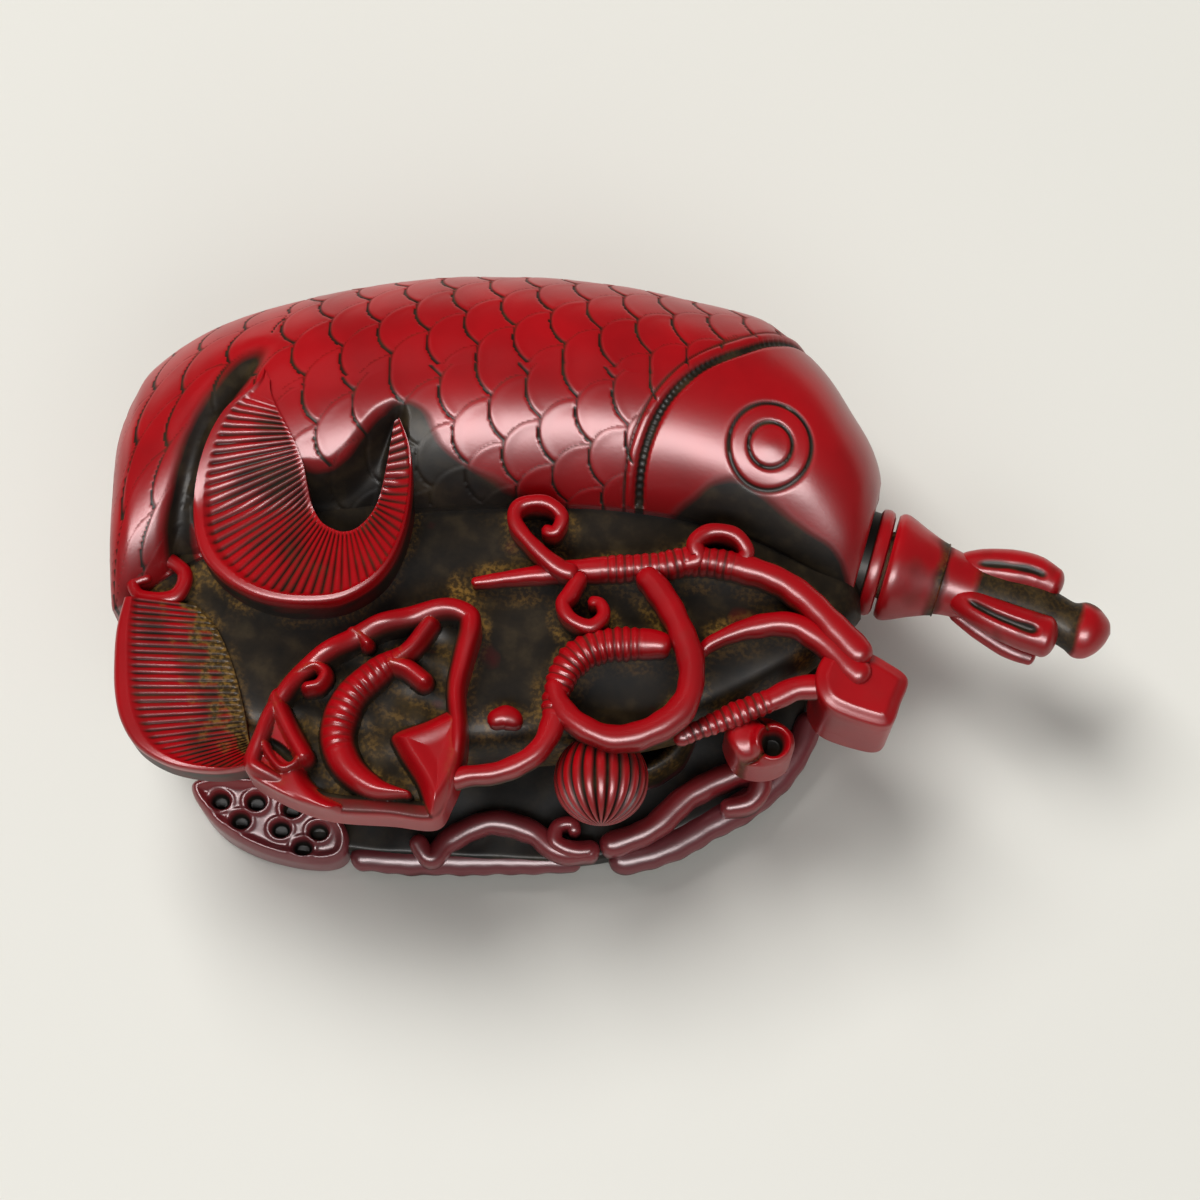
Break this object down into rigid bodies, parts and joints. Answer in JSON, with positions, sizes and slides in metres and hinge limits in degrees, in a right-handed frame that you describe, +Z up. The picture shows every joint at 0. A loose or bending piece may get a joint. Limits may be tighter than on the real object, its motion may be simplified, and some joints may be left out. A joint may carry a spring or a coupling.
{
  "type": "snuff bottle",
  "caption": "Carved carp-shaped snuff bottle lying on its back, with lotus leaf, fans and stems in relief and a lotus-bud stopper that carries a cork and a small spoon.",
  "frame": {"origin": "middle of the bottle's footprint, on the surface that it lies on", "axes": "+X out of the mouth along the neck, +Z up out of the front face, +Y towards the fish's back"},
  "size_m": [0.0922, 0.0612, 0.0276],
  "materials": {
    "carved_resin": "cast resin, carved and polished, with a dark stain left in the recesses",
    "cork": "natural cork",
    "bone": "scraped bone"
  },
  "bodies": {
    "bottle": {"bottle_body": "carved_resin"},
    "stopper": {"stopper_collar": "carved_resin", "stopper_finial": "carved_resin", "stopper_cork": "cork", "spoon": "bone"}
  },
  "joints": [
    {"name": "stopper_pull", "type": "slide", "parent": "bottle", "child": "stopper", "axis": [1, 0, 0], "range_m": [0, 0.04]}
  ]
}
